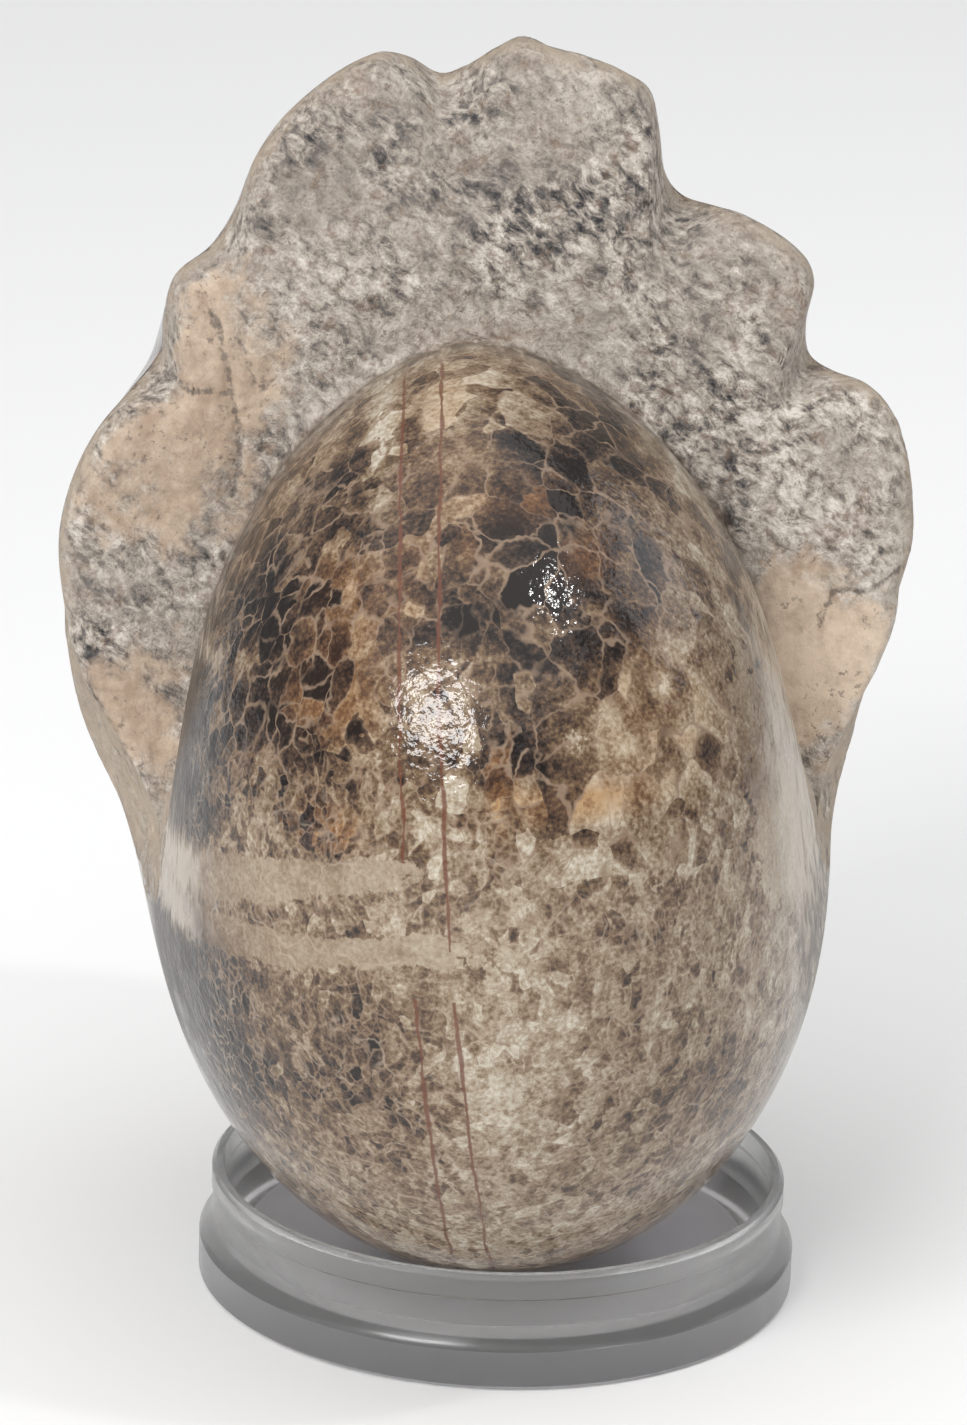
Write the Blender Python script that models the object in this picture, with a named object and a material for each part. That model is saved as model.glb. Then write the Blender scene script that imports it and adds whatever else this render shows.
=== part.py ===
"""Polished ammonite fossil (vascoceras) resting in a clear cupped stand.

Metres, +Z up. The front faces -Y: the polished inner whorl is below, and the broken end of
the last whorl stands behind it like a plate. The fossil is one natural solid, the stand is
another. A place on the shell is given by two numbers: bearing, in degrees about the middle of
the whorl, from -90 at the left flank over 0 at the venter to 90 at the right flank, and turn,
in degrees inward from the broken end.
"""

import math

import bmesh
import bpy
from mathutils import Vector, noise

MM = 0.001
FULL_TURN = 360.0
FLANK = 90.0                   # bearing of the widest point of a whorl

# Shell spiral. Each turn inward divides its radii and its widths by a fixed ratio.
VENTER_RADIUS = 87.0 * MM      # coil axis to the venter at the broken end
RADIUS_RATIO = 1.716
WIDTH_RATIO = 1.562
HALF_WIDTH = 0.609             # of the whorl, in venter radii
WIDEST = 0.21                  # height of the widest point above the coil axis
END_ROUNDNESS = 1.70           # 2 is an ellipse, less is nearer to a gable
BACK_ROUNDNESS = 2.01

# Uneven growth of the flanks: middle and span in degrees of turn, height in mm
LEFT_SWELL = (75.0, 40.0, 3.0)
RIGHT_SWELL = (140.0, 35.0, -1.3)

# Place of the coil in the stand
COIL_CENTRE = Vector((-3.5, -6.2, 71.75)) * MM
LEAN_BACK = math.radians(4.3)
ROLL_LEFT = math.radians(3.7)
YAW = math.radians(1.5)

# Edge of the broken end: bearing, and millimetres outside (+) or inside (-) the plain whorl.
# The scallops fade along the shell.
SCALLOPS = (
    (-90, -1.9), (-80, -0.1), (-72, -0.3), (-64, -1.7), (-57, -4.0), (-50, -6.0), (-46, -3.7),
    (-41, -2.2), (-35, -3.9), (-30, -3.3), (-24.5, -0.6), (-19, 0.9), (-9, 1.4), (-5.5, -0.4),
    (-2.5, -3.4), (0.5, -2.8), (3.5, -0.4), (6, 1.6), (9, 1.4), (13, 2.2), (17, 2.8),
    (20.3, 2.6), (22.5, -0.3), (25, -4.4), (28, -5.3), (32, -3.2), (36, -0.9), (44, 1.9),
    (48, 1.4), (51, -1.9), (54.5, -4.0), (58.5, -2.0), (62, 1.0), (66, 2.7), (70, 3.2),
    (77, 2.7), (84, 1.6), (90, -0.8),
)
SCALLOP_FADE = 38.0            # degrees of turn over which they die out

# Lobes, where the chamber wall dives back into the whorl: bearing, half width, depth in mm
LOBES = ((-50, 7, 6), (-33, 6, 4), (-2, 5, 6), (27, 6, 8), (54, 5, 7))
DEEPEST_LOBE = 8.0
LOBE_INSET = 0.6               # how far a lobe's scoop reaches inward, in lobe depths
LOBE_STRAIGHTNESS = 0.6        # a scoop is nearly a flat slope, the rest of the edge is round

# Broken face
EDGE_ROLL = 4.0 * MM           # radius of the worn outer edge
FILLET = 2.5 * MM              # where the face meets the inner whorl
FACE_RELIEF = 0.7 * MM
RELIEF_PATCH = 14.0 * MM

# Stone that fills each umbilicus: its middle, with x measured outward
PLUG_MIDDLE = Vector((40.5, -3.0, -10.0)) * MM

# Facets
FLANK_FACETS = 48              # across the whorl from flank to flank
TURN_FACETS = 52               # along one turn
TURN_EASE = 1.3                # facets are shorter near the broken end
ROUND_ROWS = 3
FLAT_ROWS = 5
PLUG_ROWS = 5
WELD = 0.00001

# Stand
BASE_RADIUS = 38.0 * MM
RIM_RADIUS = 36.5 * MM
RIM_THICKNESS = 1.4 * MM
STAND_HEIGHT = 14.3 * MM
BASE_BAND = 5.0 * MM
RIM_BAND = 3.0 * MM
GROOVE = 0.3 * MM              # step below the rim band and above the base band
FLOOR_RADIUS = 32.0 * MM
FLOOR_HEIGHT = 4.2 * MM
STEP_RADIUS = 34.4 * MM        # inner line where the wall turns in to the floor
STEP_HEIGHT = 7.0 * MM
EDGE_BREAK = 0.5 * MM
FLARE_STEPS = 4
SPIN_STEPS = 60


def curve_through(points, place):
    """Smooth curve through (place, value) points, level beyond both ends."""
    if place <= points[0][0]:
        return points[0][1]
    if place >= points[-1][0]:
        return points[-1][1]
    index = next(i for i in range(1, len(points)) if points[i][0] >= place) - 1
    x0, y0 = points[index]
    x1, y1 = points[index + 1]
    before = points[max(index - 1, 0)]
    after = points[min(index + 2, len(points) - 1)]
    span = x1 - x0
    slope0 = (y1 - before[1]) / (x1 - before[0]) * span
    slope1 = (after[1] - y0) / (after[0] - x0) * span
    t = (place - x0) / span
    return (y0 * (1 + 2 * t) * (1 - t) ** 2 + slope0 * t * (1 - t) ** 2
            + y1 * (3 - 2 * t) * t * t - slope1 * t * t * (1 - t))


def smooth_step(value):
    value = min(max(value, 0.0), 1.0)
    return value * value * (3 - 2 * value)


def lobe_depth(bearing):
    return sum(depth * MM * math.exp(-((bearing - place) / half_width) ** 2)
               for place, half_width, depth in LOBES)


def whorl(bearing, turn):
    """Distance across from the middle plane and outward from the coil axis."""
    radius = VENTER_RADIUS * RADIUS_RATIO ** (-turn / FULL_TURN)
    width = VENTER_RADIUS * WIDTH_RATIO ** (-turn / FULL_TURN)
    angle = math.radians(bearing)
    swell = math.sin(math.radians(turn / 2))
    power = END_ROUNDNESS + (BACK_ROUNDNESS - END_ROUNDNESS) * swell
    reach = ((abs(math.sin(angle)) / HALF_WIDTH) ** power
             + (abs(math.cos(angle)) / (1 - WIDEST)) ** power) ** (-1 / power)
    uneven = curve_through(SCALLOPS, bearing) * (1 - smooth_step(turn / SCALLOP_FADE))
    middle, span, height = LEFT_SWELL if bearing < 0 else RIGHT_SWELL
    uneven += height * math.exp(-((turn - middle) / span) ** 2) * math.sin(angle) ** 2
    reach += uneven * MM / VENTER_RADIUS
    return reach * math.sin(angle) * width, (WIDEST + reach * math.cos(angle)) * radius


def shell_point(bearing, turn):
    across, outward = whorl(bearing, turn)
    angle = math.radians(turn)
    return Vector((across, outward * math.sin(angle), outward * math.cos(angle)))


def first_turn(bearing):
    """Turn at which the shell starts, behind the rolled edge and its lobes."""
    return math.degrees(math.asin((EDGE_ROLL + lobe_depth(bearing)) / whorl(bearing, 0.0)[1]))


def last_turn(bearing):
    """Turn at which the face meets the inner whorl, a little forward for the fillet."""
    middle = 1 - smooth_step(abs(bearing) / FLANK)
    return FULL_TURN - math.degrees(FILLET / whorl(bearing, FULL_TURN)[1]) * middle


def turn_at(bearing, row):
    start = first_turn(bearing)
    return start + (last_turn(bearing) - start) * (row / TURN_FACETS) ** TURN_EASE


def relief(place):
    return FACE_RELIEF * noise.noise(Vector((place.x, place.z, 0.0)) / RELIEF_PATCH)


def face_point(bearing, row):
    """Point on the broken face: rolled edge first, then flat rows up to the fillet."""
    rim = shell_point(bearing, first_turn(bearing))
    inner = shell_point(bearing, last_turn(bearing))
    width = Vector((inner.x - rim.x, inner.z - rim.z)).length
    lobe = lobe_depth(bearing)
    inset = EDGE_ROLL + LOBE_INSET * lobe
    if row <= ROUND_ROWS:
        quarter = row / ROUND_ROWS
        straight = LOBE_STRAIGHTNESS * min(lobe / (DEEPEST_LOBE * MM), 1.0)
        ease_in = (1 - straight) * (1 - math.cos(quarter * math.pi / 2)) + straight * quarter
        ease_up = (1 - straight) * math.sin(quarter * math.pi / 2) + straight * quarter
        point = rim.lerp(inner, inset * ease_in / width)
        point.y = rim.y * (1 - ease_up)
        return point
    share = (row - ROUND_ROWS) / FLAT_ROWS
    point = rim.lerp(inner, (inset + (width - FILLET - inset) * share) / width)
    point.y = relief(point) * math.sin(share * math.pi)
    return point


def plug_point(edge, share):
    """Point on the fill of an umbilicus, from its edge at share 0 to its middle at share 1."""
    middle = PLUG_MIDDLE.copy()
    middle.x = math.copysign(middle.x, edge.x)
    point = edge.lerp(middle, share)
    point.x = edge.x + (middle.x - edge.x) * smooth_step(share)
    return point


def new_object(name, bm, color, roughness, alpha=1.0):
    bmesh.ops.recalc_face_normals(bm, faces=bm.faces)
    mesh = bpy.data.meshes.new(name)
    bm.to_mesh(mesh)
    bm.free()
    material = bpy.data.materials.new(name)
    material.use_nodes = True
    shader = material.node_tree.nodes["Principled BSDF"]
    shader.inputs["Base Color"].default_value = (*color, 1.0)
    shader.inputs["Roughness"].default_value = roughness
    shader.inputs["Metallic"].default_value = 0.0
    shader.inputs["Alpha"].default_value = alpha
    mesh.materials.append(material)
    mesh.shade_smooth()
    mesh.set_sharp_from_angle(angle=math.radians(40))
    obj = bpy.data.objects.new(name, mesh)
    bpy.context.scene.collection.objects.link(obj)
    return obj


def extrude_row(bm, edges, place):
    """Extrude a row of edges once and move each new vertex to place(vertex)."""
    made = bmesh.ops.extrude_edge_only(bm, edges=edges)["geom"]
    verts = {v for v in made if isinstance(v, bmesh.types.BMVert)}
    for vert in verts:
        vert.co = place(vert)
    return [e for e in made if isinstance(e, bmesh.types.BMEdge) and set(e.verts) <= verts]


def build_ammonite():
    bm = bmesh.new()
    bearing = bm.verts.layers.float.new("bearing")
    plug_edge = bm.verts.layers.float_vector.new("plug_edge")
    rim = []
    for column in range(FLANK_FACETS + 1):
        value = FLANK * (2.0 * column / FLANK_FACETS - 1.0)
        vert = bm.verts.new(shell_point(value, first_turn(value)))
        vert[bearing] = value
        rim.append(vert)
    rim_edges = [bm.edges.new(pair) for pair in zip(rim, rim[1:])]

    # One strip for the last whorl and the egg-shaped inner whorl, once round the coil axis
    edges = rim_edges
    for row in range(1, TURN_FACETS + 1):
        edges = extrude_row(bm, edges,
                            lambda v: shell_point(v[bearing], turn_at(v[bearing], row)))

    # Broken face, from the rim in to the inner whorl
    edges = rim_edges
    for row in range(1, ROUND_ROWS + FLAT_ROWS + 1):
        edges = extrude_row(bm, edges, lambda v: face_point(v[bearing], row))
    extrude_row(bm, edges, lambda v: shell_point(v[bearing], last_turn(v[bearing])))
    bmesh.ops.remove_doubles(bm, verts=bm.verts, dist=WELD)

    # Fill of the two umbilici, each from its open edge to its middle
    edges = [e for e in bm.edges if e.is_boundary]
    for vert in {v for e in edges for v in e.verts}:
        vert[plug_edge] = vert.co
    for row in range(1, PLUG_ROWS + 1):
        edges = extrude_row(bm, edges, lambda v: plug_point(v[plug_edge], row / PLUG_ROWS))
    bmesh.ops.remove_doubles(bm, verts=bm.verts, dist=WELD)
    bmesh.ops.triangulate(bm, faces=bm.faces)
    return new_object("ammonite", bm, color=(0.36, 0.28, 0.21), roughness=0.35)


def build_display_stand():
    bm = bmesh.new()
    flare_low = BASE_BAND + GROOVE
    flare_high = STAND_HEIGHT - RIM_BAND - GROOVE
    neck = RIM_RADIUS - GROOVE
    profile = [(0, 0), (BASE_RADIUS - EDGE_BREAK, 0), (BASE_RADIUS, EDGE_BREAK),
               (BASE_RADIUS, BASE_BAND)]
    for step in range(FLARE_STEPS + 1):
        share = step / FLARE_STEPS
        radius = neck + (BASE_RADIUS - GROOVE - neck) * (1 - share) ** 2
        profile.append((radius, flare_low + (flare_high - flare_low) * share))
    profile += [(RIM_RADIUS, STAND_HEIGHT - RIM_BAND), (RIM_RADIUS, STAND_HEIGHT - EDGE_BREAK),
                (RIM_RADIUS - EDGE_BREAK, STAND_HEIGHT), (RIM_RADIUS - RIM_THICKNESS, STAND_HEIGHT),
                (STEP_RADIUS, STEP_HEIGHT), (FLOOR_RADIUS, FLOOR_HEIGHT), (0, FLOOR_HEIGHT)]
    verts = [bm.verts.new((radius, 0, height)) for radius, height in profile]
    edges = [bm.edges.new(pair) for pair in zip(verts, verts[1:])]
    bmesh.ops.spin(bm, geom=verts + edges, cent=(0, 0, 0), axis=(0, 0, 1),
                   angle=math.tau, steps=SPIN_STEPS, use_merge=True)
    bmesh.ops.remove_doubles(bm, verts=bm.verts, dist=WELD)
    return new_object("display_stand", bm, color=(0.62, 0.64, 0.64), roughness=0.2, alpha=0.4)


for old in list(bpy.data.objects):
    bpy.data.objects.remove(old)

specimen = bpy.data.objects.new("specimen", None)
bpy.context.scene.collection.objects.link(specimen)
ammonite = build_ammonite()
ammonite.location = COIL_CENTRE
ammonite.rotation_euler = (-LEAN_BACK, -ROLL_LEFT, YAW)
display_stand = build_display_stand()
for piece in (ammonite, display_stand):
    piece.parent = specimen

# The origin is the middle of the outline of the whole thing, at the foot of the stand
bpy.context.view_layer.update()
corners = [piece.matrix_world @ vert.co
           for piece in (ammonite, display_stand) for vert in piece.data.vertices]
specimen.location = (-(min(c.x for c in corners) + max(c.x for c in corners)) / 2,
                     -(min(c.y for c in corners) + max(c.y for c in corners)) / 2, 0)
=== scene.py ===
import math

import bmesh
import bpy
import numpy as np
from mathutils import Euler, Matrix, Vector, noise


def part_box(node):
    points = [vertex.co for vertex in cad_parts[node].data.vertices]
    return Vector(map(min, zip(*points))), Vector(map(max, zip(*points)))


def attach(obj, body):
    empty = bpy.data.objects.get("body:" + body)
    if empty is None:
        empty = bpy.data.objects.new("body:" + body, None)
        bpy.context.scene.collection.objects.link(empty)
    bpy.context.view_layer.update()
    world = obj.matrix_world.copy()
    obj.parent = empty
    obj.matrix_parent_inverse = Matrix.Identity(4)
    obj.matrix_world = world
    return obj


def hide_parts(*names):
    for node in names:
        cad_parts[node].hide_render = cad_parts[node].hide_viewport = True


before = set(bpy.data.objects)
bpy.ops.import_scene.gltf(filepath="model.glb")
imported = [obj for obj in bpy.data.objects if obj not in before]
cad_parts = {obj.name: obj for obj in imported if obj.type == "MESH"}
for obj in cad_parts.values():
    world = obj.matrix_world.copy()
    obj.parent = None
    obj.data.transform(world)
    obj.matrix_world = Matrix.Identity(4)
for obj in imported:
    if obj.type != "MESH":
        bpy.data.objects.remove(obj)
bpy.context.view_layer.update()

MM = 0.001

# The fossil's form. One stone: a shell that coils like a log spiral, broken off across its last
# chamber, with the polished whorl inside showing in front like an egg. The same spiral as the
# CAD solid, drawn from row to row by extrusion, only finer and with the grain of the break.
FULL_TURN = 360.0    # degrees round the coil
FLANK = 90.0         # degrees across the whorl, from its middle to either umbilicus
VENTER_RADIUS = 87.0 * MM
RADIUS_RATIO = 1.716
WIDTH_RATIO = 1.562
HALF_WIDTH = 0.609
WIDEST = 0.21
END_ROUNDNESS = 1.70
BACK_ROUNDNESS = 2.01
# Swells of the flanks: middle and span in degrees round the coil, height in mm
LEFT_SWELL = (75.0, 40.0, 3.0)
RIGHT_SWELL = (140.0, 35.0, -1.3)
COIL_CENTRE = Vector((-3.5, -6.2, 71.75)) * MM
LEAN_BACK = math.radians(4.3)
ROLL_LEFT = math.radians(3.7)
YAW = math.radians(1.5)
# The broken edge: degrees across the whorl, and mm outward from the even curve
SCALLOPS = (
    (-90, -1.9), (-80, -0.1), (-72, -0.3), (-64, -1.7), (-57, -4.0), (-50, -6.0), (-46, -3.7),
    (-41, -2.2), (-35, -3.9), (-30, -3.3), (-24.5, -0.6), (-19, 0.9), (-9, 1.4), (-5.5, -0.4),
    (-2.5, -3.4), (0.5, -2.8), (3.5, -0.4), (6, 1.6), (9, 1.4), (13, 2.2), (17, 2.8),
    (20.3, 2.6), (22.5, -0.3), (25, -4.4), (28, -5.3), (32, -3.2), (36, -0.9), (44, 1.9),
    (48, 1.4), (51, -1.9), (54.5, -4.0), (58.5, -2.0), (62, 1.0), (66, 2.7), (70, 3.2),
    (77, 2.7), (84, 1.6), (90, -0.8),
)
SCALLOP_FADE = 38.0
# The lobes of the edge: middle and half width in degrees across, depth in mm
LOBES = ((-50, 7, 6), (-33, 6, 4), (-2, 5, 6), (27, 6, 8), (54, 5, 7))
DEEPEST_LOBE = 8.0
LOBE_INSET = 0.6
LOBE_STRAIGHTNESS = 0.6
EDGE_ROLL = 4.0 * MM
FILLET = 2.5 * MM
FACE_RELIEF = 0.7 * MM
RELIEF_PATCH = 14.0 * MM
PLUG_MIDDLE = Vector((40.5, -3.0, -10.0)) * MM
# Columns and rows of the mesh
COLUMNS = 290
TURN_ROWS = 205
TURN_EASE = 1.15
ROUND_ROWS = 8
FLAT_ROWS = 46
FILLET_ROWS = 4
FACE_MIDDLE = ROUND_ROWS + FLAT_ROWS // 2
PLUG_ROWS = 14
WELD = 0.00001


def curve_through(points, place):
    """Height at a place of the smooth curve that goes through the points."""
    if place <= points[0][0]:
        return points[0][1]
    if place >= points[-1][0]:
        return points[-1][1]
    index = next(i for i in range(1, len(points)) if points[i][0] >= place) - 1
    x0, y0 = points[index]
    x1, y1 = points[index + 1]
    before = points[max(index - 1, 0)]
    after = points[min(index + 2, len(points) - 1)]
    span = x1 - x0
    slope0 = (y1 - before[1]) / (x1 - before[0]) * span
    slope1 = (after[1] - y0) / (after[0] - x0) * span
    t = (place - x0) / span
    return (y0 * (1 + 2 * t) * (1 - t) ** 2 + slope0 * t * (1 - t) ** 2
            + y1 * (3 - 2 * t) * t * t - slope1 * t * t * (1 - t))


def smooth_step(value):
    value = min(max(value, 0.0), 1.0)
    return value * value * (3 - 2 * value)


def lobe_depth(bearing):
    """How far the lobes cut into the broken edge at a bearing, in metres."""
    return sum(depth * MM * math.exp(-((bearing - place) / half_width) ** 2)
               for place, half_width, depth in LOBES)


def whorl(bearing, turn):
    """Where the shell lies, across and outward from the coil's axis, in metres."""
    radius = VENTER_RADIUS * RADIUS_RATIO ** (-turn / FULL_TURN)
    width = VENTER_RADIUS * WIDTH_RATIO ** (-turn / FULL_TURN)
    angle = math.radians(bearing)
    swell = math.sin(math.radians(turn / 2))
    power = END_ROUNDNESS + (BACK_ROUNDNESS - END_ROUNDNESS) * swell
    reach = ((abs(math.sin(angle)) / HALF_WIDTH) ** power
             + (abs(math.cos(angle)) / (1 - WIDEST)) ** power) ** (-1 / power)
    uneven = 0.0
    if turn < SCALLOP_FADE:
        uneven = curve_through(SCALLOPS, bearing) * (1 - smooth_step(turn / SCALLOP_FADE))
    middle, span, height = LEFT_SWELL if bearing < 0 else RIGHT_SWELL
    uneven += height * math.exp(-((turn - middle) / span) ** 2) * math.sin(angle) ** 2
    reach += uneven * MM / VENTER_RADIUS
    return reach * math.sin(angle) * width, (WIDEST + reach * math.cos(angle)) * radius


def shell_point(bearing, turn):
    """Point of the shell in its own frame, with the coil's axis along X."""
    across, outward = whorl(bearing, turn)
    angle = math.radians(turn)
    return Vector((across, outward * math.sin(angle), outward * math.cos(angle)))


def first_turn(bearing):
    """Turn at which the shell starts, behind the rolled edge and its lobes."""
    return math.degrees(math.asin((EDGE_ROLL + lobe_depth(bearing)) / whorl(bearing, 0.0)[1]))


def last_turn(bearing):
    """Turn at which the inner whorl meets the broken face."""
    middle = 1 - smooth_step(abs(bearing) / FLANK)
    return FULL_TURN - math.degrees(FILLET / whorl(bearing, FULL_TURN)[1]) * middle


def turn_at(bearing, row):
    """Turn of a row of the mesh. The rows lie closer together at the start."""
    start = first_turn(bearing)
    return start + (last_turn(bearing) - start) * (row / TURN_ROWS) ** TURN_EASE


def face_point(bearing, row, rim, inner):
    """Point on the broken face: rolled edge first, then the flat, then the hollow fillet."""
    width = Vector((inner.x - rim.x, inner.z - rim.z)).length
    lobe = lobe_depth(bearing)
    inset = EDGE_ROLL + LOBE_INSET * lobe
    if row <= ROUND_ROWS:
        quarter = row / ROUND_ROWS
        straight = LOBE_STRAIGHTNESS * min(lobe / (DEEPEST_LOBE * MM), 1.0)
        ease_in = (1 - straight) * (1 - math.cos(quarter * math.pi / 2)) + straight * quarter
        ease_up = (1 - straight) * math.sin(quarter * math.pi / 2) + straight * quarter
        point = rim.lerp(inner, inset * ease_in / width)
        point.y = rim.y * (1 - ease_up)
        return point
    share = min((row - ROUND_ROWS) / FLAT_ROWS, 1.0)
    point = rim.lerp(inner, (inset + (width - FILLET - inset) * share) / width)
    place = Vector((point.x, point.z, 0.0)) / RELIEF_PATCH
    point.y = FACE_RELIEF * noise.noise(place) * math.sin(share * math.pi)
    if row > ROUND_ROWS + FLAT_ROWS:
        hollow = (row - ROUND_ROWS - FLAT_ROWS) / FILLET_ROWS * math.pi / 2
        flat_end, level = point.copy(), inner.y
        point = flat_end.lerp(inner, math.sin(hollow))
        point.y = flat_end.y + (level - flat_end.y) * (1 - math.cos(hollow))
    return point


def plug_point(edge, share):
    """Point on the stone that fills an umbilicus, from its edge to its middle."""
    middle = PLUG_MIDDLE.copy()
    middle.x = math.copysign(middle.x, edge.x)
    point = edge.lerp(middle, share)
    point.x = edge.x + (middle.x - edge.x) * smooth_step(share)
    return point


def extrude_row(bm, edges, place):
    """Extrude a row of edges once and let place(vertex) put each new vertex."""
    made = bmesh.ops.extrude_edge_only(bm, edges=edges)["geom"]
    verts = {v for v in made if isinstance(v, bmesh.types.BMVert)}
    for vert in verts:
        vert.co = place(vert)
    return [e for e in made if isinstance(e, bmesh.types.BMEdge) and set(e.verts) <= verts]


bm = bmesh.new()
bearing = bm.verts.layers.float.new("bearing")
turn = bm.verts.layers.float.new("turn")
matte = bm.verts.layers.float.new("matte")        # 0 on the polished shell, 1 on broken stone
seam = bm.verts.layers.float.new("seam")          # mm from the meeting of face and inner whorl
rim_way = bm.verts.layers.float.new("rim_way")    # mm from the worn rim
filled = bm.verts.layers.float.new("filled")      # 1 on the stone that fills the umbilici
plug_edge = bm.verts.layers.float_vector.new("plug_edge")
FAR = 60.0
RIM_MATTE = 0.35
MATTE_WITHIN = 3.0
FILLED_WITHIN = 4.0

rim = []
for column in range(COLUMNS + 1):
    value = FLANK * (2.0 * column / COLUMNS - 1.0)
    vert = bm.verts.new(shell_point(value, first_turn(value)))
    vert[bearing], vert[turn], vert[matte], vert[seam] = value, first_turn(value), RIM_MATTE, -FAR
    rim.append(vert)
rim_edges = [bm.edges.new(pair) for pair in zip(rim, rim[1:])]


def on_shell(vert):
    value = turn_at(vert[bearing], row)
    place = shell_point(vert[bearing], value)
    radius = Vector((place.y, place.z)).length
    vert[turn] = value
    vert[matte] = RIM_MATTE if row == TURN_ROWS else 0.0
    vert[seam] = -min(math.radians(last_turn(vert[bearing]) - value) * radius / MM, FAR)
    vert[rim_way] = min(math.radians(value - first_turn(vert[bearing])) * radius / MM, FAR)
    return place


edges = rim_edges
for row in range(1, TURN_ROWS + 1):
    edges = extrude_row(bm, edges, on_shell)

rims = {v[bearing]: v.co.copy() for v in rim}
inners = {b: shell_point(b, last_turn(b)) for b in rims}


def on_face(vert):
    start, end = rims[vert[bearing]], inners[vert[bearing]]
    place = face_point(vert[bearing], row, start, end)
    vert[turn] = last_turn(vert[bearing]) if row > FACE_MIDDLE else first_turn(vert[bearing])
    vert[matte] = min(RIM_MATTE + (1 - RIM_MATTE) * row / ROUND_ROWS, 1.0)
    vert[seam] = (place - end).length / MM
    vert[rim_way] = -(place - start).length / MM
    return place


edges = rim_edges
for row in range(1, ROUND_ROWS + FLAT_ROWS + FILLET_ROWS):
    edges = extrude_row(bm, edges, on_face)
extrude_row(bm, edges, lambda v: inners[v[bearing]])
bmesh.ops.remove_doubles(bm, verts=bm.verts, dist=WELD)

edges = [e for e in bm.edges if e.is_boundary]
for vert in {v for e in edges for v in e.verts}:
    vert[plug_edge] = vert.co


def on_plug(vert):
    share = row / PLUG_ROWS
    place = plug_point(vert[plug_edge], share)
    way = (place - vert[plug_edge]).length / MM
    vert[matte] = max(vert[matte], min(way / MATTE_WITHIN, 1.0))
    vert[filled] = min(way / FILLED_WITHIN, 1.0)
    vert[rim_way] = math.copysign(min(abs(vert[rim_way]) + way, FAR), vert[rim_way])
    vert[seam] = math.copysign(min(abs(vert[seam]) + way, FAR), 1.0)
    return place


for row in range(1, PLUG_ROWS + 1):
    edges = extrude_row(bm, edges, on_plug)
bmesh.ops.remove_doubles(bm, verts=bm.verts, dist=WELD)
bmesh.ops.recalc_face_normals(bm, faces=bm.faces)

# Cracks in the break, each a line of points across and up in the shell's own millimetres
CRACKS = (
    ((-32.4, 57.6), (-30.6, 53.0), (-29.8, 48.6), (-28.8, 42.0), (-28.6, 38.0), (-29.6, 32.6)),
    ((-28.2, 51.6), (-26.2, 45.2), (-23.8, 46.8)),
    ((-29.6, 45.2), (-34.2, 45.6), (-38.0, 47.2)),
    ((-50.8, 28.6), (-48.6, 25.4), (-43.6, 24.0)),
    ((52.2, 20.5), (47.6, 17.9), (42.7, 18.1)),
    ((20.6, 66.4), (24.0, 65.4), (29.6, 66.0)),
    ((36.4, 47.4), (39.6, 44.4), (43.4, 45.0)),
    ((43.2, 18.0), (41.2, 14.0), (40.8, 9.0), (41.6, 4.0)),
)
CRACK_REACH = 6.0
CRACK_HALF_WIDTH = 0.9


def crack_distance(place):
    """Millimetres from the nearest crack, seen from the front."""
    here = Vector((place.x, place.z)) / MM
    nearest = CRACK_REACH
    for crack in CRACKS:
        for start, end in zip(crack, crack[1:]):
            start, end = Vector(start), Vector(end)
            along = end - start
            share = min(max((here - start).dot(along) / along.length_squared, 0.0), 1.0)
            nearest = min(nearest, (here - start - along * share).length)
    return nearest


crack = bm.verts.layers.float.new("crack")
bm.normal_update()
# How deep the break's relief goes, and how wide its grains, pits and swells are
GRAIN, PITS, SWELL, CRACK_DEPTH = 0.16 * MM, 0.30 * MM, 0.25 * MM, 0.45 * MM
GRAIN_WIDTH, PIT_WIDTH, SWELL_WIDTH = 1.7 * MM, 2.6 * MM, 8 * MM
CRACKS_BEFORE = 12 * MM
FILL_CALM = 0.55
shifts = {}
for vert in bm.verts:
    vert[crack] = CRACK_REACH
    if vert[matte] <= 0.0:
        continue
    if vert.co.y < CRACKS_BEFORE and vert.co.z > 0 and not vert[filled]:
        vert[crack] = crack_distance(vert.co)
    grain = GRAIN * (noise.fractal(vert.co / GRAIN_WIDTH, 0.6, 2.1, 4) - 0.7)
    pit = -PITS * smooth_step(noise.noise(vert.co / PIT_WIDTH) * 2.4 - 0.5)
    swell = SWELL * (noise.noise(vert.co / SWELL_WIDTH) - 0.6)
    groove = -CRACK_DEPTH * max(1 - vert[crack] / CRACK_HALF_WIDTH, 0.0)
    calm = 1 - FILL_CALM * vert[filled]
    shifts[vert] = vert.normal * ((grain + pit + swell) * calm + groove) * vert[matte]
for vert, shift in shifts.items():
    vert.co += shift

turned = Euler((-LEAN_BACK, -ROLL_LEFT, YAW)).to_matrix().to_4x4()
low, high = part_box("display_stand")
stand_centre = Vector(((low.x + high.x) / 2, (low.y + high.y) / 2, 0.0))
placed = Matrix.Translation(stand_centre + COIL_CENTRE) @ turned

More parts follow.
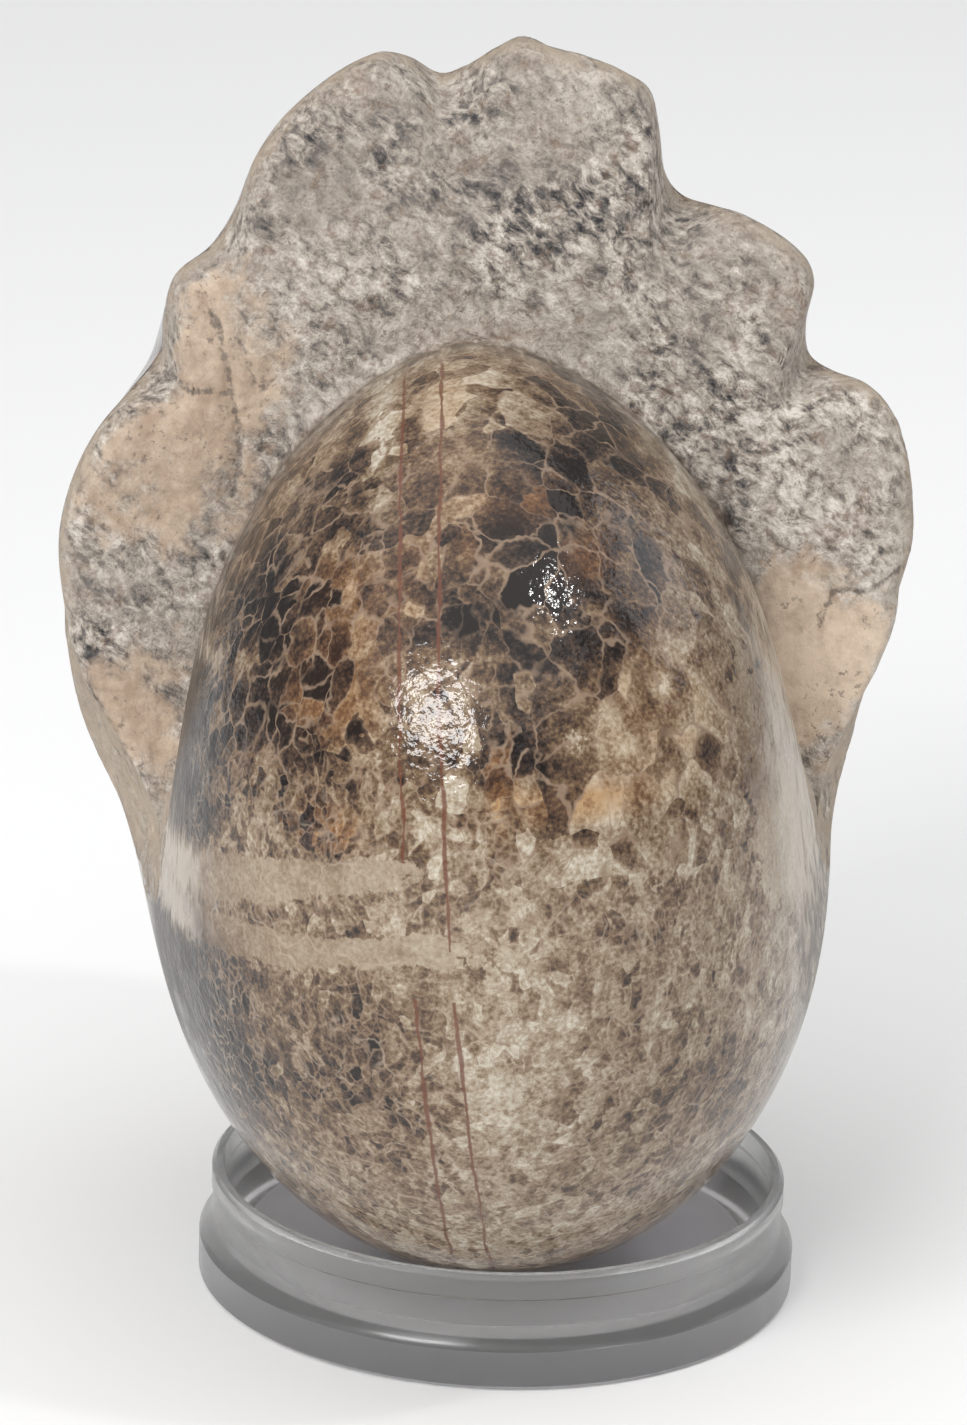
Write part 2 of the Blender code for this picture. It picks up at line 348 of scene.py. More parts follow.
# Where the stone is lighter or darker, cream, amber, tan, rusty or more mottled than around it.
# Each patch has its middle (across, up) and half size in the shell's own millimetres, as seen
# from the front, and how strong it is.
PATCHES = {
    "egg_tone": (
        ((-10.8, 43.5), (2.4, 8), 0.30), ((-2.5, 44), (4, 11), 0.26), ((0, 46.5), (15, 4), 0.10),
        ((18, 14), (9, 9), 0.22), ((1, 27), (6, 4), -0.16), ((-12.6, 7), (2.4, 6), 0.15),
        ((12.8, 12.6), (5, 3.2), 0.22), ((2, -27), (9, 15), 0.22), ((14, 2), (12, 6), 0.16),
        ((24, -12), (9, 5), 0.04), ((33, -18), (6, 14), 0.08), ((0, -50), (16, 8), 0.13),
        ((-33, 18), (6, 1.2), 0.20), ((20, 17), (1.4, 1.6), 0.35), ((22, 10), (2, 5), 0.12),
        ((-4, 19), (5, 2.5), 0.04), ((-2, 10), (5, 8), -0.10), ((7, 26), (10, 8), -0.24),
        ((10, 42), (6.5, 5), -0.18), ((16, 34), (6, 8), -0.16), ((20, 25), (5, 8), -0.16),
        ((3.4, 11.6), (3, 2.6), -0.32), ((-22, 27), (11, 10), -0.16), ((5, 36), (8, 5), -0.14),
        ((-25, 25), (3.4, 4), -0.20), ((-24, 30.5), (2.6, 2.6), -0.22),
        ((-17, 38), (4, 2.5), -0.12), ((-23, 9), (10, 9), -0.20),
        ((-25.3, 14.5), (1.2, 1.2), -0.5), ((-36, 8), (6, 13), -0.46),
        ((-38, -28), (8, 18), -0.80), ((25, 33), (6, 12), 0.20), ((-20, 17), (9, 8), -0.16),
        ((-23, -28), (13, 13), -0.14), ((-32, -33), (7, 9), -0.14), ((-16, -27), (5, 9), -0.10),
        ((23, -34), (8, 7), -0.14), ((16, -14), (5, 5), -0.06), ((5.5, -54.8), (1.6, 1.2), -0.35),
        ((9.6, 36.2), (1.1, 2.2), -0.5),
    ),
    "cream": (
        ((-40, -8.0), (6, 3.6), 1.0), ((-33, -6.2), (6, 3.2), 1.0), ((-26, -4.4), (6, 2.9), 1.0),
        ((-18, -2.6), (6, 2.4), 0.9), ((-11, -1.4), (5, 1.5), 0.8), ((-40, -13.2), (6, 3.0), 1.0),
        ((-33, -12.8), (6, 2.6), 1.0), ((-25, -12.0), (6, 2.4), 1.0),
        ((-17, -10.9), (6, 2.2), 0.9), ((-9, -9.8), (5, 2.2), 0.8), ((-24, -8.4), (6, 0.9), -0.9),
        ((-2, -12), (6, 4), 0.4), ((8, -9), (12, 1.6), 0.36), ((17, -4.4), (6, 1.8), 0.5),
        ((-15, -6.4), (7, 1.5), -1.0), ((33, 9), (5.0, 15), 0.85), ((36, -6), (5, 10), 0.8),
        ((-31, 17.5), (7, 1.0), 0.5), ((20, 17), (1.0, 1.4), 0.5), ((9, 13), (3, 1.4), 0.4),
        ((1, -30), (4, 9), 0.3), ((-9.5, 24), (1.6, 9), 0.25), ((-4, 22), (1.6, 5), 0.3),
        ((28, 20), (2.0, 12), 0.3),
    ),
    "amber": (
        ((5, 37.2), (4.5, 2.6), 1.0), ((11, 31), (4, 2.4), 0.9), ((-1, 33), (2.4, 3), 0.5),
        ((1.2, 9), (1.8, 5), 1.0), ((9, 6), (8, 2), 1.0), ((-15, 27), (6, 6), 0.6),
        ((-18, 17), (6, 5), 0.8), ((-18, 3), (4, 2.4), 1.2), ((-8, 32), (2, 12), 0.4),
        ((18, 13), (8, 8), 0.6), ((-3, 43), (5, 9), 0.5),
    ),
    "tan": (
        ((-39, 38), (15, 15), 1.5), ((-29, 50), (9, 10), 1.2), ((-33, 60), (7, 6), 0.8),
        ((42, 12), (13, 11), 1.5), ((-46, 8), (8, 9), 1.1), ((-39, 5), (6, 12), 0.7),
        ((37, 9), (6, 13), 1.2),
    ),
    "face_tone": (
        ((8.7, 67), (9, 5), -0.16), ((22, 64), (7, 4), -0.14), ((29, 32), (4, 6), -0.22),
        ((24, 37), (3, 4), -0.12), ((16, 72), (7, 5), -0.06), ((-10, 76), (10, 4), -0.06),
        ((30, 46), (8, 6), -0.06), ((-42, 22), (8, 5), -0.06), ((42, 34), (10, 12), 0.10),
        ((38, 22), (7, 6), 0.14), ((44, 10), (10, 11), 0.42), ((-44, 20), (10, 9), -0.06),
        ((36, 8), (6, 12), 0.15), ((-46, 8), (8, 10), -0.22), ((-36, 36), (14, 12), -0.26),
        ((-2, 56), (12, 4), 0.05), ((-8, 74), (20, 14), -0.12),
    ),
    "mottling": (
        ((34, 44), (20, 22), 0.5), ((8, 68), (12, 9), 0.45), ((-42, 20), (11, 8), 0.3),
        ((-22, 64), (13, 12), -0.5), ((-47, 8), (8, 10), 0.3),
    ),
    "rust": (
        ((7, 86), (2.5, 3), 1.3), ((-14, 83), (4, 3), 0.8), ((33, 64), (3, 2.5), 0.9),
        ((39, 54), (3, 3), 1.0), ((2, 51), (9, 1.6), 0.8), ((-30, 60), (6, 4), 0.4),
        ((26, 74), (3, 4), 0.5), ((44, 26), (4, 3), 0.5), ((40, 22), (4, 3), 0.8),
        ((43.5, 17.6), (3.5, 1.2), 0.9),
    ),
}

fossil_mesh = bpy.data.meshes.new("ammonite_stone")
bm.to_mesh(fossil_mesh)
bm.free()
count = len(fossil_mesh.vertices)
flat = np.empty(count * 3)
fossil_mesh.vertices.foreach_get("co", flat)
spot = flat.reshape(-1, 3) / MM


def layer_values(name):
    values = np.empty(count)
    fossil_mesh.attributes[name].data.foreach_get("value", values)
    return values


def add_layer(name, values):
    layer = fossil_mesh.attributes.new(name, "FLOAT", "POINT")
    layer.data.foreach_set("value", values.astype(np.float32))


FRONT_REACH = 6.0
front = np.clip((FRONT_REACH - spot[:, 1]) / (2 * FRONT_REACH), 0, 1)
for name, patches in PATCHES.items():
    strengths = np.zeros(count)
    for (across, up), (wide, tall), strength in patches:
        way = ((spot[:, 0] - across) / wide) ** 2 + ((spot[:, 2] - up) / tall) ** 2
        strengths += strength * np.exp(-way ** 1.5)
    add_layer(name, strengths * front)
add_layer("front", front)

# Fineness of the cells, from 0 for the largest to 1 for the smallest: large at the upper right of
# the egg, finest at its foot, and the same all over the back
BACK_FINENESS = 0.45
right_side = np.clip((spot[:, 0] - 1.0) / 6, 0, 1)
fine = np.clip((30 - 18 * right_side - spot[:, 2]) / 34, 0, 1) * 0.7 + 0.22 * (1 - right_side)
fine = np.maximum(fine, np.clip((6 - spot[:, 2]) / 14, 0, 1))
add_layer("fineness", fine * front + (1 - front) * BACK_FINENESS)

# Distance across the shell from the siphuncle line, in mm. The line wanders: at these degrees
# round the coil it lies this far to the right of the middle.
LINE_TURNS = (0, 120, 190, 207, 224, 241, 254, 271, 289, 335, 345)
LINE_ACROSS = (1.0, -1.0, -3.0, -3.9, -5.2, -6.3, -7.1, -7.7, -7.7, -6.2, -6.0)
turns = layer_values("turn")
add_layer("from_siphuncle", spot[:, 0] - np.interp(turns, LINE_TURNS, LINE_ACROSS))

# Map of the shell's skin, across and along the coil, for what runs along the coil
ACROSS_PER_DEGREE, ALONG_PER_DEGREE = 0.8, 0.95
skin = np.column_stack((layer_values("bearing") * ACROSS_PER_DEGREE, turns * ALONG_PER_DEGREE))
skin *= MM
corners = np.empty(len(fossil_mesh.loops), int)
fossil_mesh.loops.foreach_get("vertex_index", corners)
fossil_mesh.uv_layers.new(name="skin").data.foreach_set("uv", skin[corners].ravel())

# Into its place in the stand, and exactly into the box of the CAD solid
fossil_mesh.transform(placed)
cad_low, cad_high = (np.array(corner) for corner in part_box("ammonite"))
fossil_mesh.vertices.foreach_get("co", flat)
spot = flat.reshape(-1, 3)
spot = (spot - spot.min(0)) / (spot.max(0) - spot.min(0)) * (cad_high - cad_low) + cad_low
fossil_mesh.vertices.foreach_set("co", spot.ravel())
fossil_mesh.shade_smooth()
fossil = bpy.data.objects.new("ammonite_stone", fossil_mesh)
bpy.context.scene.collection.objects.link(fossil)


class Finish:
    """A material being made, with short ways to add its nodes. Sizes are in millimetres."""

    def __init__(self, name):
        self.material = bpy.data.materials.new(name)
        self.material.use_nodes = True
        self.tree = self.material.node_tree
        self.shader = self.tree.nodes["Principled BSDF"]
        self.output = self.tree.nodes["Material Output"]
        self.place = self.add("TexCoord", output="Object")

    def add(self, kind, inputs=None, output=0, **settings):
        node = self.tree.nodes.new("ShaderNode" + kind)
        for name, value in settings.items():
            setattr(node, name, value)
        for name, value in (inputs or {}).items():
            self.set(node.inputs[name], value)
        return node.outputs[output]

    def set(self, socket, value):
        if isinstance(value, bpy.types.NodeSocket):
            self.tree.links.new(value, socket)
        else:
            socket.default_value = value

    def attribute(self, name):
        return self.add("Attribute", output="Fac", attribute_name=name)

    def stretched(self, scale, place=None):
        return self.add("Mapping", {"Vector": place or self.place, "Scale": scale})

    def noise(self, size, detail=3.0, roughness=0.55, distortion=0.0, place=None, output="Fac"):
        return self.add("TexNoise", {"Vector": place or self.place, "Scale": 1000.0 / size,
                                     "Detail": detail, "Roughness": roughness,
                                     "Distortion": distortion}, output=output)

    def cells(self, size, feature, output, place):
        return self.add("TexVoronoi", {"Vector": place, "Scale": 1000.0 / size}, output=output,
                        feature=feature)

    def math(self, operation, *values):
        return self.add("Math", dict(enumerate(values)), operation=operation)

    def ease(self, value, low, high, start=0.0, end=1.0):
        """From start to end, smoothly, while the value goes from low to high."""
        return self.add("MapRange", {"Value": value, "From Min": low, "From Max": high,
                                     "To Min": start, "To Max": end},
                        interpolation_type="SMOOTHSTEP")

    def mix(self, share, first, second):
        """Between two colours."""
        first, second = ((*c, 1.0) if isinstance(c, tuple) else c for c in (first, second))
        return self.add("Mix", {0: share, 6: first, 7: second}, output=2, data_type="RGBA")

    def blend(self, share, first, second):
        """Between two numbers."""
        return self.add("Mix", {0: share, 2: first, 3: second}, output=0)

    def ramp(self, value, stops):
        socket = self.add("ValToRGB", {"Fac": value}, output="Color")
        elements = socket.node.color_ramp.elements
        while len(elements) < len(stops):
            elements.new(0.5)
        for element, (position, rgb) in zip(elements, stops):
            element.position = position
            element.color = (*rgb, 1.0)
        return socket

    def bump(self, height, distance, strength):
        return self.add("Bump", {"Height": height, "Distance": distance, "Strength": strength})


stone = Finish("polished_and_broken_stone")
egg_tone, amber, tan = (stone.attribute(name) for name in ("egg_tone", "amber", "tan"))
cream = stone.attribute("cream")
face_tone, mottling, rust = (stone.attribute(name) for name in ("face_tone", "mottling", "rust"))
matte_way, seam_way, rim_edge = (stone.attribute(name) for name in ("matte", "seam", "rim_way"))
fineness, front_way = stone.attribute("fineness"), stone.attribute("front")
crack_way, fill_way = stone.attribute("crack"), stone.attribute("filled")
from_siphuncle, turn_here = stone.attribute("from_siphuncle"), stone.attribute("turn")
back_way = stone.math("SUBTRACT", 1.0, front_way)


def spread(value, height):
    """A noise around 0.5 made into one around 0, with the given height."""
    return stone.math("MULTIPLY", stone.math("SUBTRACT", value, 0.5), height)


def total(first, *others):
    """Sum of two or more values."""
    for other in others:
        first = stone.math("ADD", first, other)
    return first


def shifted(place, size, distance, detail=2.0):
    """A place pushed about by a noise, so that what is drawn there gets wavy edges."""
    push = stone.noise(size, detail, output="Color")
    push = stone.add("VectorMath", {0: push, 1: (0.5, 0.5, 0.5)}, operation="SUBTRACT")
    push = stone.add("VectorMath", {0: push, "Scale": distance * MM}, operation="SCALE")
    return stone.add("VectorMath", {0: place, 1: push}, operation="ADD")


# Polished shell: crystal cells with pale veins between them, in three sizes
LARGE_CELL, MEDIUM_CELL, SMALL_CELL = 4.8, 2.8, 1.4
MEDIUM_FROM, SMALL_FROM = 0.23, 0.65
ONE_UNIT = 1000.0                                 # mm, for a place that is counted in cells
medium = total(fineness, spread(stone.noise(9.0, 2.0), 0.5))
medium = stone.math("GREATER_THAN", medium, MEDIUM_FROM)
small = total(fineness, spread(stone.noise(7.0, 2.0), 0.5))
small = stone.math("GREATER_THAN", small, SMALL_FROM)


def by_size(large_value, medium_value, small_value):
    """A value for large, medium and small cells."""
    return stone.blend(small, stone.blend(medium, large_value, medium_value), small_value)


warped = shifted(shifted(stone.place, 8.0, 5.0, 1.0), 2.2, 2.0, 2.0)
cell_place = stone.stretched((1.0, 1.0, 0.70), warped)
cells_per_metre = by_size(1000 / LARGE_CELL, 1000 / MEDIUM_CELL, 1000 / SMALL_CELL)
cell_place = stone.add("VectorMath", {0: cell_place, "Scale": cells_per_metre}, operation="SCALE")
from_edge = stone.cells(ONE_UNIT, "DISTANCE_TO_EDGE", "Distance", cell_place)
cell_tint = stone.cells(ONE_UNIT, "F1", "Color", cell_place)
vein_width = stone.ease(stone.noise(3.0, 2.0), 0.3, 0.72, by_size(0.020, 0.028, 0.045),
                        by_size(0.085, 0.115, 0.160))
vein = stone.ease(stone.math("DIVIDE", from_edge, vein_width), 0.1, 1.1, 1.0, 0.0)
halo = stone.ease(from_edge, 0.0, 0.32, 1.0, 0.0)
cell_share = stone.ease(fineness, 0.3, 1.0, 1.0, 0.75)

# Tone of the cells by region, and the cream band with its own finer clouding
cloud = stone.noise(3.4, 4.0, 0.62, 0.4)
grain = stone.noise(0.55, 2.0, 0.6)
wide_cloud = stone.noise(11.0, 2.0, 0.6, 0.5)
back_tone = stone.math("MULTIPLY", back_way, spread(stone.noise(24.0, 2.0, 0.6), 1.3))
region = total(egg_tone, stone.ease(fineness, 0.15, 0.7, 0.31, 0.48), back_tone,
               spread(wide_cloud, 0.35))
cream_share = total(cream, spread(stone.noise(2.4, 4.0, 0.72), 1.5), spread(region, 0.5))
cream_share = stone.ease(cream_share, 0.42, 0.56)
cell_share = stone.math("MULTIPLY", cell_share, stone.math("SUBTRACT", 1.0, cream_share))
own_tone = total(spread(cell_tint, 0.62), stone.math("MULTIPLY", halo, 0.12))
tone = total(region, stone.math("MULTIPLY", own_tone, cell_share),
             stone.math("MULTIPLY", spread(grain, 0.80), stone.blend(cream_share, 1.0, 0.5)),
             stone.math("MULTIPLY", cream_share, 0.19),
             stone.math("MULTIPLY", spread(cloud, 0.95), stone.blend(cream_share, 1.0, 0.35)))
shell_colour = stone.ramp(tone, (
    (0.00, (0.010, 0.007, 0.006)), (0.15, (0.030, 0.020, 0.016)), (0.30, (0.078, 0.048, 0.032)),
    (0.45, (0.150, 0.096, 0.056)), (0.60, (0.250, 0.186, 0.124)), (0.75, (0.355, 0.293, 0.215)),
    (0.88, (0.455, 0.400, 0.318)), (1.00, (0.545, 0.492, 0.408))))

# Amber cells, and the veins over all
amber_share = stone.math("MULTIPLY", amber, stone.ease(cell_tint, 0.25, 0.6, 0.2, 0.85))
amber_tone = stone.ramp(tone, ((0.1, (0.045, 0.018, 0.009)), (0.45, (0.175, 0.078, 0.030)),
                               (0.8, (0.40, 0.24, 0.11))))
polished = stone.mix(stone.math("MINIMUM", amber_share, 0.9), shell_colour, amber_tone)
vein_colour = stone.mix(stone.noise(1.5, 2.0), (0.180, 0.118, 0.080), (0.310, 0.222, 0.156))
vein_seen = stone.ease(stone.noise(5.0, 2.0), 0.36, 0.60, 0.15, 0.9)
vein_seen = stone.math("MULTIPLY", vein_seen, stone.ease(fineness, 0.25, 1.0, 1.0, 0.75))
vein_seen = stone.math("MULTIPLY", vein_seen, stone.blend(cream_share, 1.0, 0.15))
polished = stone.mix(stone.math("MULTIPLY", vein, vein_seen), polished, vein_colour)

# Net of thin pale lines over the mottled lower half
net = stone.cells(5.2, "DISTANCE_TO_EDGE", "Distance", warped)
net = stone.math("MULTIPLY", stone.ease(net, 0.0, 0.05, 1.0, 0.0),
                 stone.ease(stone.noise(5.0, 2.0), 0.42, 0.62, 0.0, 0.4))
net = stone.math("MULTIPLY", net, stone.ease(fineness, 0.5, 0.9))
NET_CREAM = (0.46, 0.375, 0.285)
polished = stone.mix(net, polished, NET_CREAM)

# Streaks along the coil on the flanks and near the seam, where the shell's layers lie slanted
skin = stone.add("UVMap", uv_map="skin")
streak_place = stone.stretched((1.0, 0.09, 1.0), shifted(skin, 6.0, 2.5, 1.0))
streaks = stone.noise(1.3, 3.0, 0.62, 0.3, streak_place)
streak_tone = total(0.5, spread(streaks, 1.6), spread(cloud, 0.35),
                    stone.math("MULTIPLY", egg_tone, 0.4), stone.math("MULTIPLY", cream, 0.42))
streak_colour = stone.ramp(streak_tone, (
    (0.34, (0.022, 0.017, 0.014)), (0.47, (0.080, 0.060, 0.044)), (0.58, (0.190, 0.150, 0.110)),
    (0.70, (0.360, 0.300, 0.236)), (0.90, (0.560, 0.500, 0.420))))
calm = stone.blend(back_way, 1.0, 0.40)
near_seam = stone.ease(total(seam_way, spread(stone.noise(5.0, 2.0), 8.0)), -9.0, -2.5)
bearing_here = stone.math("ABSOLUTE", stone.attribute("bearing"))
on_flank = stone.ease(total(bearing_here, spread(stone.noise(6.0, 2.0), 30.0)), 46.0, 70.0)
streak_share = stone.math("MAXIMUM", stone.math("MULTIPLY", near_seam, 0.75),
                          stone.math("MULTIPLY", on_flank, stone.math("MULTIPLY", calm, 0.7)))
polished = stone.mix(streak_share, polished, streak_colour)

# Siphuncle: two thin red-brown lines along the middle of the whorl, in mm from the middle and
# mm wide, with the degrees round the coil where they fade in, break off, go on and fade out
LINE_APART, LINE_WIDTH = 2.25, 0.14
LINE_STARTS, LINE_ENDS = (14.0, 20.0), (344.0, 350.0)
GAP_STARTS, GAP_ENDS_LEFT, GAP_ENDS_RIGHT = 254.0, 270.0, 260.0
LINE_BROWN = (0.13, 0.048, 0.028)
wander = total(from_siphuncle, spread(stone.noise(7.0, 3.0, 0.6), 1.1))
from_line = stone.math("SUBTRACT", stone.math("ABSOLUTE", wander), LINE_APART)
line_width = stone.ease(stone.noise(4.0, 2.0), 0.3, 0.7, 0.6, 1.9)
line = stone.math("DIVIDE", stone.math("ABSOLUTE", from_line), line_width)
line = stone.ease(line, LINE_WIDTH * 0.6, LINE_WIDTH * 1.6, 0.85, 0.0)
line = stone.math("MULTIPLY", line, stone.ease(turn_here, *LINE_STARTS))
gap_end = stone.ease(from_siphuncle, -0.5, 0.5, GAP_ENDS_LEFT, GAP_ENDS_RIGHT)
in_gap = stone.math("MULTIPLY", stone.math("GREATER_THAN", turn_here, GAP_STARTS),
                    stone.math("LESS_THAN", turn_here, gap_end))
line = stone.math("MULTIPLY", line, stone.math("SUBTRACT", 1.0, in_gap))
line = stone.math("MULTIPLY", line, stone.ease(turn_here, *LINE_ENDS, 1.0, 0.0))
polished = stone.mix(line, polished, LINE_BROWN)

# Broken stone: granular grey, cream and brown-black, with smooth tan parts
SLANT = math.radians(-38)
SPECK_BROWN, FINE_DARK = (0.175, 0.112, 0.074), (0.12, 0.092, 0.075)
WORN_RIM, RUST_BROWN, CRACK_DARK = (0.40, 0.325, 0.250), (0.175, 0.098, 0.052), (0.10, 0.083, 0.072)
slanted = stone.add("Mapping", {"Vector": stone.place, "Rotation": (0, SLANT, 0)})
slanted = stone.stretched((0.55, 1.0, 1.0), shifted(slanted, 5.0, 2.5))
speck = stone.noise(1.25, 4.0, 0.70, 0.3, slanted)
lump = stone.noise(4.6, 3.0, 0.62, 0.3)
contrast = stone.ease(stone.noise(11.0, 2.0), 0.35, 0.62, 0.45, 1.25)
contrast = stone.math("MULTIPLY", total(mottling, 0.75), contrast)
speck_tone = stone.math("MULTIPLY", spread(speck, 2.5), contrast)
lump_tone = stone.math("MULTIPLY", spread(lump, 0.9), contrast)
fine_grain = spread(stone.noise(0.45, 2.0, 0.6), 0.30)
broken_tone = total(face_tone, 0.63, speck_tone, lump_tone, fine_grain,
                    spread(stone.noise(14.0, 2.0), 0.25))
granular = stone.ramp(broken_tone, (
    (0.00, (0.028, 0.025, 0.026)), (0.20, (0.066, 0.062, 0.062)), (0.40, (0.182, 0.160, 0.142)),
    (0.55, (0.320, 0.278, 0.238)), (0.70, (0.445, 0.395, 0.342)), (0.85, (0.560, 0.505, 0.445)),
    (1.00, (0.680, 0.630, 0.570))))
brown_specks = stone.ease(stone.noise(2.3, 3.0, 0.7), 0.54, 0.68, 0.0, 0.55)
granular = stone.mix(brown_specks, granular, SPECK_BROWN)
smooth_tan = stone.ramp(total(stone.noise(2.6, 4.0, 0.62), fine_grain, face_tone), (
    (0.25, (0.340, 0.250, 0.180)), (0.5, (0.455, 0.355, 0.270)), (0.80, (0.620, 0.500, 0.385))))
tan_share = stone.math("MAXIMUM", tan, stone.math("MULTIPLY", fill_way, 0.42))
tan_share = stone.ease(total(tan_share, spread(stone.noise(4.0, 4.0, 0.68), 1.5)), 0.30, 0.72)
broken = stone.mix(tan_share, granular, smooth_tan)
fine_dark = stone.ease(stone.noise(0.9, 3.0, 0.75), 0.56, 0.64, 0.0, 0.65)
fine_dark = stone.math("MULTIPLY", fine_dark, stone.ease(stone.noise(8.0, 2.0), 0.4, 0.6))
broken = stone.mix(fine_dark, broken, FINE_DARK)
edge_share = stone.math("MULTIPLY", stone.ease(rim_edge, -5.0, -1.0),
                        stone.ease(stone.noise(3.0, 3.0), 0.35, 0.6, 0.2, 0.9))
broken = stone.mix(edge_share, broken, WORN_RIM)
rust_share = stone.math("MULTIPLY", rust, stone.ease(stone.noise(2.0, 4.0, 0.7), 0.4, 0.62))
broken = stone.mix(stone.math("MINIMUM", rust_share, 0.8), broken, RUST_BROWN)
crack_line = total(crack_way, spread(stone.noise(1.6, 4.0, 0.7), 2.6))
crack_line = stone.ease(crack_line, 0.0, 0.5, 0.7, 0.0)
broken = stone.mix(crack_line, broken, CRACK_DARK)

# The two meet along a ragged line. In the corner between them lies a brown stain, darkened further
# with painted shade.
STAIN_AND_SHADE_BROWN = (0.13, 0.085, 0.056)
spill = stone.ease(total(bearing_here, spread(stone.noise(5.0, 4.0, 0.65), 22.0)), 84.0, 88.0)
border = total(matte_way, spread(stone.noise(2.0, 4.0, 0.7), 0.5), spill)
border = stone.ease(border, 0.28, 0.42)
surface = stone.mix(border, polished, broken)
# The brown in this corner is partly a real stain and partly painted shade in the crease
corner = stone.math("ABSOLUTE", total(seam_way, spread(stone.noise(4.0, 4.0, 0.65), 3.0)))
corner = stone.ease(corner, 0.3, 1.8, 0.5, 0.0)
surface = stone.mix(corner, surface, STAIN_AND_SHADE_BROWN)
stone.set(stone.shader.inputs["Base Color"], surface)

# Glossy shell, duller where it is cream or streaked, and matt broken stone
CREAM_DULLNESS, STREAK_DULLNESS = 0.22, 0.50
polish = stone.ease(stone.noise(1.2, 2.0), 0.3, 0.7, 0.04, 0.11)
polish = stone.blend(cream_share, polish, CREAM_DULLNESS)
polish = stone.math("MAXIMUM", polish, stone.math("MULTIPLY", streak_share, STREAK_DULLNESS))
rough = stone.ease(speck, 0.3, 0.7, 0.92, 0.74)
stone.set(stone.shader.inputs["Roughness"], stone.blend(border, polish, rough))
stone.shader.inputs["IOR"].default_value = 1.45

# Relief too fine for the mesh
POLISHED_RELIEF, BROKEN_RELIEF = 0.08 * MM, 0.4 * MM
cell_height = total(stone.noise(0.8, 2.0), stone.math("MULTIPLY", stone.noise(2.6, 2.0), 2.6))
polished_bump = stone.bump(cell_height, POLISHED_RELIEF, 1.0)
speck_height = total(stone.noise(0.5, 3.0, 0.7), stone.math("MULTIPLY", stone.noise(1.4, 3.0), 1.6))
broken_bump = stone.bump(speck_height, BROKEN_RELIEF, stone.blend(tan_share, 0.9, 0.35))
normals = stone.add("Mix", {0: border, 4: polished_bump, 5: broken_bump}, output=1,
                    data_type="VECTOR")
stone.set(stone.shader.inputs["Normal"], normals)
fossil_mesh.materials.append(stone.material)

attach(fossil, "root")
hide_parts("ammonite")

# The stand: one turned-looking moulding of clear plastic, a shallow cup with a wider foot, a
# rim band and a step inside where the wall comes down to the floor. Scuffed by use.
BASE_RADIUS = 38.0 * MM
RIM_RADIUS = 36.5 * MM
RIM_THICKNESS = 1.4 * MM
STAND_HEIGHT = 14.3 * MM
BASE_BAND = 5.0 * MM
RIM_BAND = 3.0 * MM
GROOVE = 0.3 * MM
FLOOR_RADIUS = 32.0 * MM
FLOOR_HEIGHT = 4.2 * MM
STEP_RADIUS = 34.4 * MM
STEP_HEIGHT = 7.0 * MM
EDGE_BREAK = 0.5 * MM
FLARE_STEPS = 12
SPIN_STEPS = 180
SHARP_FROM = math.radians(25)

bm = bmesh.new()
flare_low = BASE_BAND + GROOVE
flare_high = STAND_HEIGHT - RIM_BAND - GROOVE
neck = RIM_RADIUS - GROOVE
profile = [(0, 0), (BASE_RADIUS - EDGE_BREAK, 0), (BASE_RADIUS, EDGE_BREAK),
           (BASE_RADIUS, BASE_BAND)]
for step in range(FLARE_STEPS + 1):
    share = step / FLARE_STEPS
    radius = neck + (BASE_RADIUS - GROOVE - neck) * (1 - share) ** 2
    profile.append((radius, flare_low + (flare_high - flare_low) * share))
profile += [(RIM_RADIUS, STAND_HEIGHT - RIM_BAND), (RIM_RADIUS, STAND_HEIGHT - EDGE_BREAK),
            (RIM_RADIUS - EDGE_BREAK, STAND_HEIGHT), (RIM_RADIUS - RIM_THICKNESS, STAND_HEIGHT),
            (STEP_RADIUS, STEP_HEIGHT), (FLOOR_RADIUS, FLOOR_HEIGHT), (0, FLOOR_HEIGHT)]
verts = [bm.verts.new((radius, 0, height)) for radius, height in profile]
edges = [bm.edges.new(pair) for pair in zip(verts, verts[1:])]
bmesh.ops.spin(bm, geom=verts + edges, cent=(0, 0, 0), axis=(0, 0, 1),
               angle=math.tau, steps=SPIN_STEPS, use_merge=True)
bmesh.ops.remove_doubles(bm, verts=bm.verts, dist=WELD)
bmesh.ops.recalc_face_normals(bm, faces=bm.faces)
bmesh.ops.translate(bm, verts=bm.verts, vec=stand_centre)
stand_mesh = bpy.data.meshes.new("clear_stand")
bm.to_mesh(stand_mesh)
bm.free()
stand_mesh.shade_smooth()
stand_mesh.set_sharp_from_angle(angle=SHARP_FROM)
stand = bpy.data.objects.new("clear_stand", stand_mesh)
bpy.context.scene.collection.objects.link(stand)

FOOT_BLUR = 0.5 * MM
CLEAR_WALL, CLEAR_FOOT = (0.970, 0.976, 0.962), (0.965, 0.950, 0.975)
HAZE_PER_METRE = 5.0
SCRATCH_DEPTH = 0.01 * MM
plastic = Finish("clear_plastic")
plastic.shader.inputs["Transmission Weight"].default_value = 0.94
plastic.shader.inputs["IOR"].default_value = 1.49
scuffs = plastic.noise(3.0, 4.0, 0.7, place=plastic.stretched((1, 1, 0.25)))
plastic.set(plastic.shader.inputs["Roughness"], plastic.ease(scuffs, 0.3, 0.75, 0.20, 0.27))
scratch = plastic.noise(0.5, 3.0, 0.7, place=plastic.stretched((1, 1, 0.04)))
plastic.set(plastic.shader.inputs["Normal"], plastic.bump(scratch, SCRATCH_DEPTH, 0.5))
height = plastic.add("SeparateXYZ", {"Vector": plastic.place}, output=2)
in_foot = plastic.ease(height, BASE_BAND - FOOT_BLUR, BASE_BAND + FOOT_BLUR, 1.0, 0.0)
clear = plastic.mix(in_foot, CLEAR_WALL, CLEAR_FOOT)
